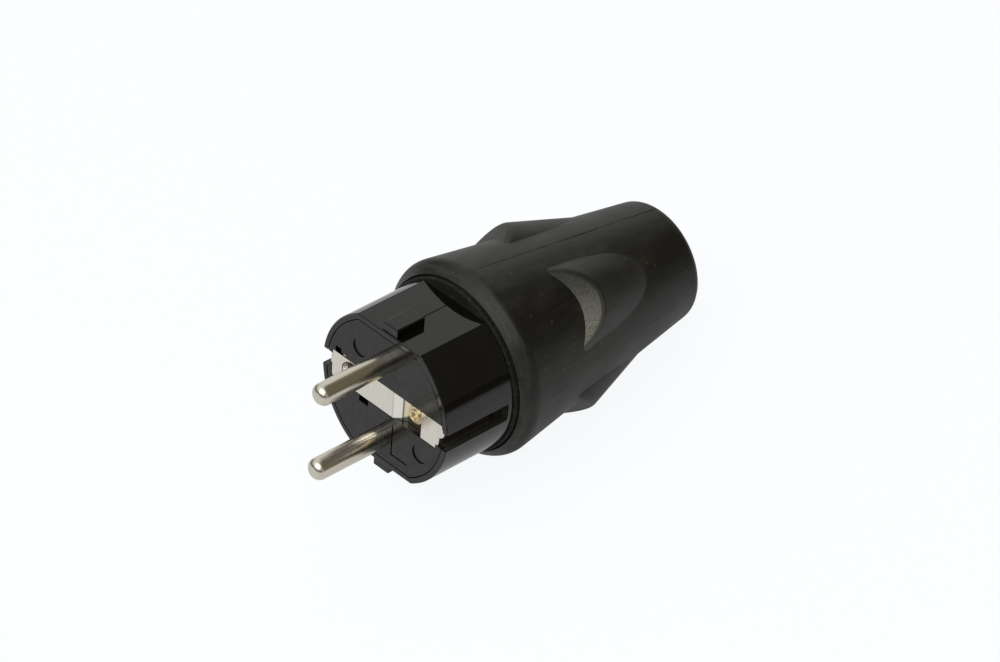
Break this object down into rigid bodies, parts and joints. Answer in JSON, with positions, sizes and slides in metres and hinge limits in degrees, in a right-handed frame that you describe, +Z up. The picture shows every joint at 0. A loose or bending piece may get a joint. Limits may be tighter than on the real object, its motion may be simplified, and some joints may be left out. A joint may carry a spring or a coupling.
{
  "type": "waterproof plug",
  "caption": "Black rubber splash-proof mains plug with round pins, a gloss sleeve with earth contacts and thumb grips.",
  "frame": {"origin": "centre of the face between the pins, where the plug meets a socket", "axes": "+Z up and +X to the right seen from the pins' side, as the plug lies on its rubber cone: the pins point along -Y, raised by the cone's slope, and the cord leaves at the rear"},
  "size_m": [0.0438, 0.0992, 0.0433],
  "materials": {
    "rubber": "matte, moulded grain",
    "sleeve_plastic": "mould-polished",
    "carrier_plastic": "mould-polished",
    "nickel_pin": "nickel plate",
    "nickel_strip": "satin nickel plate",
    "bronze": "bare spring bronze",
    "brass": "bare brass",
    "zinc_screw": "zinc plate",
    "clamp_plastic": "plain moulded"
  },
  "bodies": {
    "root": {"rubber_housing": "rubber", "insert_shell": "sleeve_plastic", "contact_carrier": "carrier_plastic", "line_pin": "nickel_pin", "neutral_pin": "nickel_pin", "earth_strip": "nickel_strip", "earth_socket": "bronze", "earth_rivet": "brass", "earth_terminal": "brass", "line_terminal_screw": "zinc_screw", "neutral_terminal_screw": "zinc_screw", "earth_terminal_screw": "zinc_screw", "carrier_screw_upper": "zinc_screw", "carrier_screw_lower": "zinc_screw", "cord_clamp_saddle": "clamp_plastic", "cord_clamp_screw_left": "zinc_screw", "cord_clamp_screw_right": "zinc_screw"}
  },
  "joints": []
}
